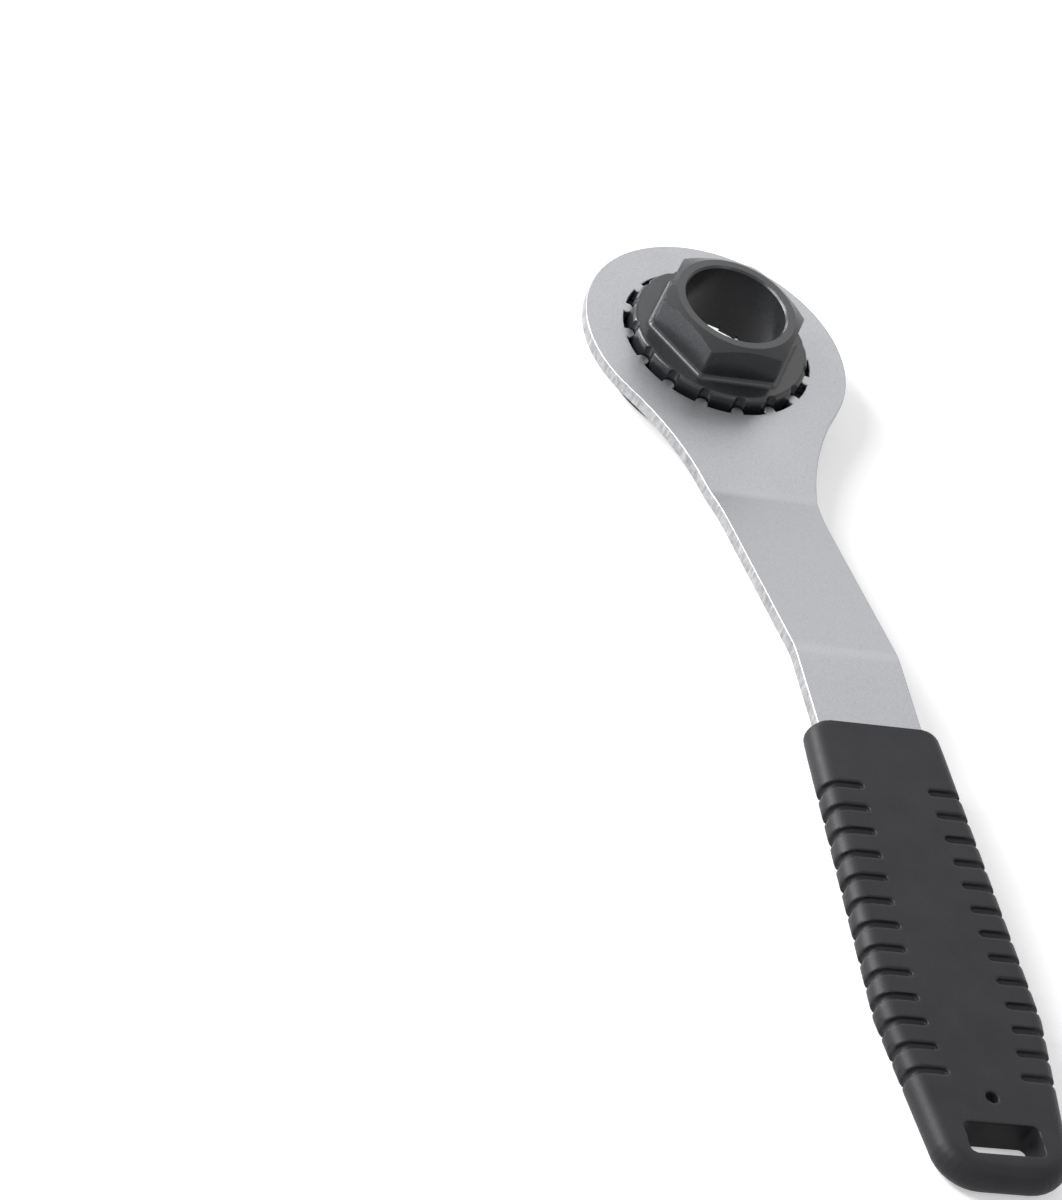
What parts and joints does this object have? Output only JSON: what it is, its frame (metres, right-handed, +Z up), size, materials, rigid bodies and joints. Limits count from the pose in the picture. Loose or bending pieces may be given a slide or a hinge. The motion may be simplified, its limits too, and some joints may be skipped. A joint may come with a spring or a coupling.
{
  "type": "chainring nut wrench",
  "caption": "Flat steel ring wrench with a joggled shank and grooved rubber grip, holding a black hexagon socket for a chainring nut.",
  "frame": {"origin": "on the bench, under the middle of the tool as it lies", "axes": "+X along the handle from the ring to the grip's end, +Z up; the tool lies on the skirt of its socket and the end of its grip, so the socket's axis leans 4.62 degrees towards +X"},
  "size_m": [0.3008, 0.066, 0.0272],
  "materials": {
    "blade_steel": "satin nickel plate over blasted steel",
    "grip_rubber": "matte moulded rubber",
    "socket_black": "satin black finish over machined steel"
  },
  "bodies": {
    "root": {"wrench_blade": "blade_steel", "grip": "grip_rubber", "socket": "socket_black"}
  },
  "joints": []
}
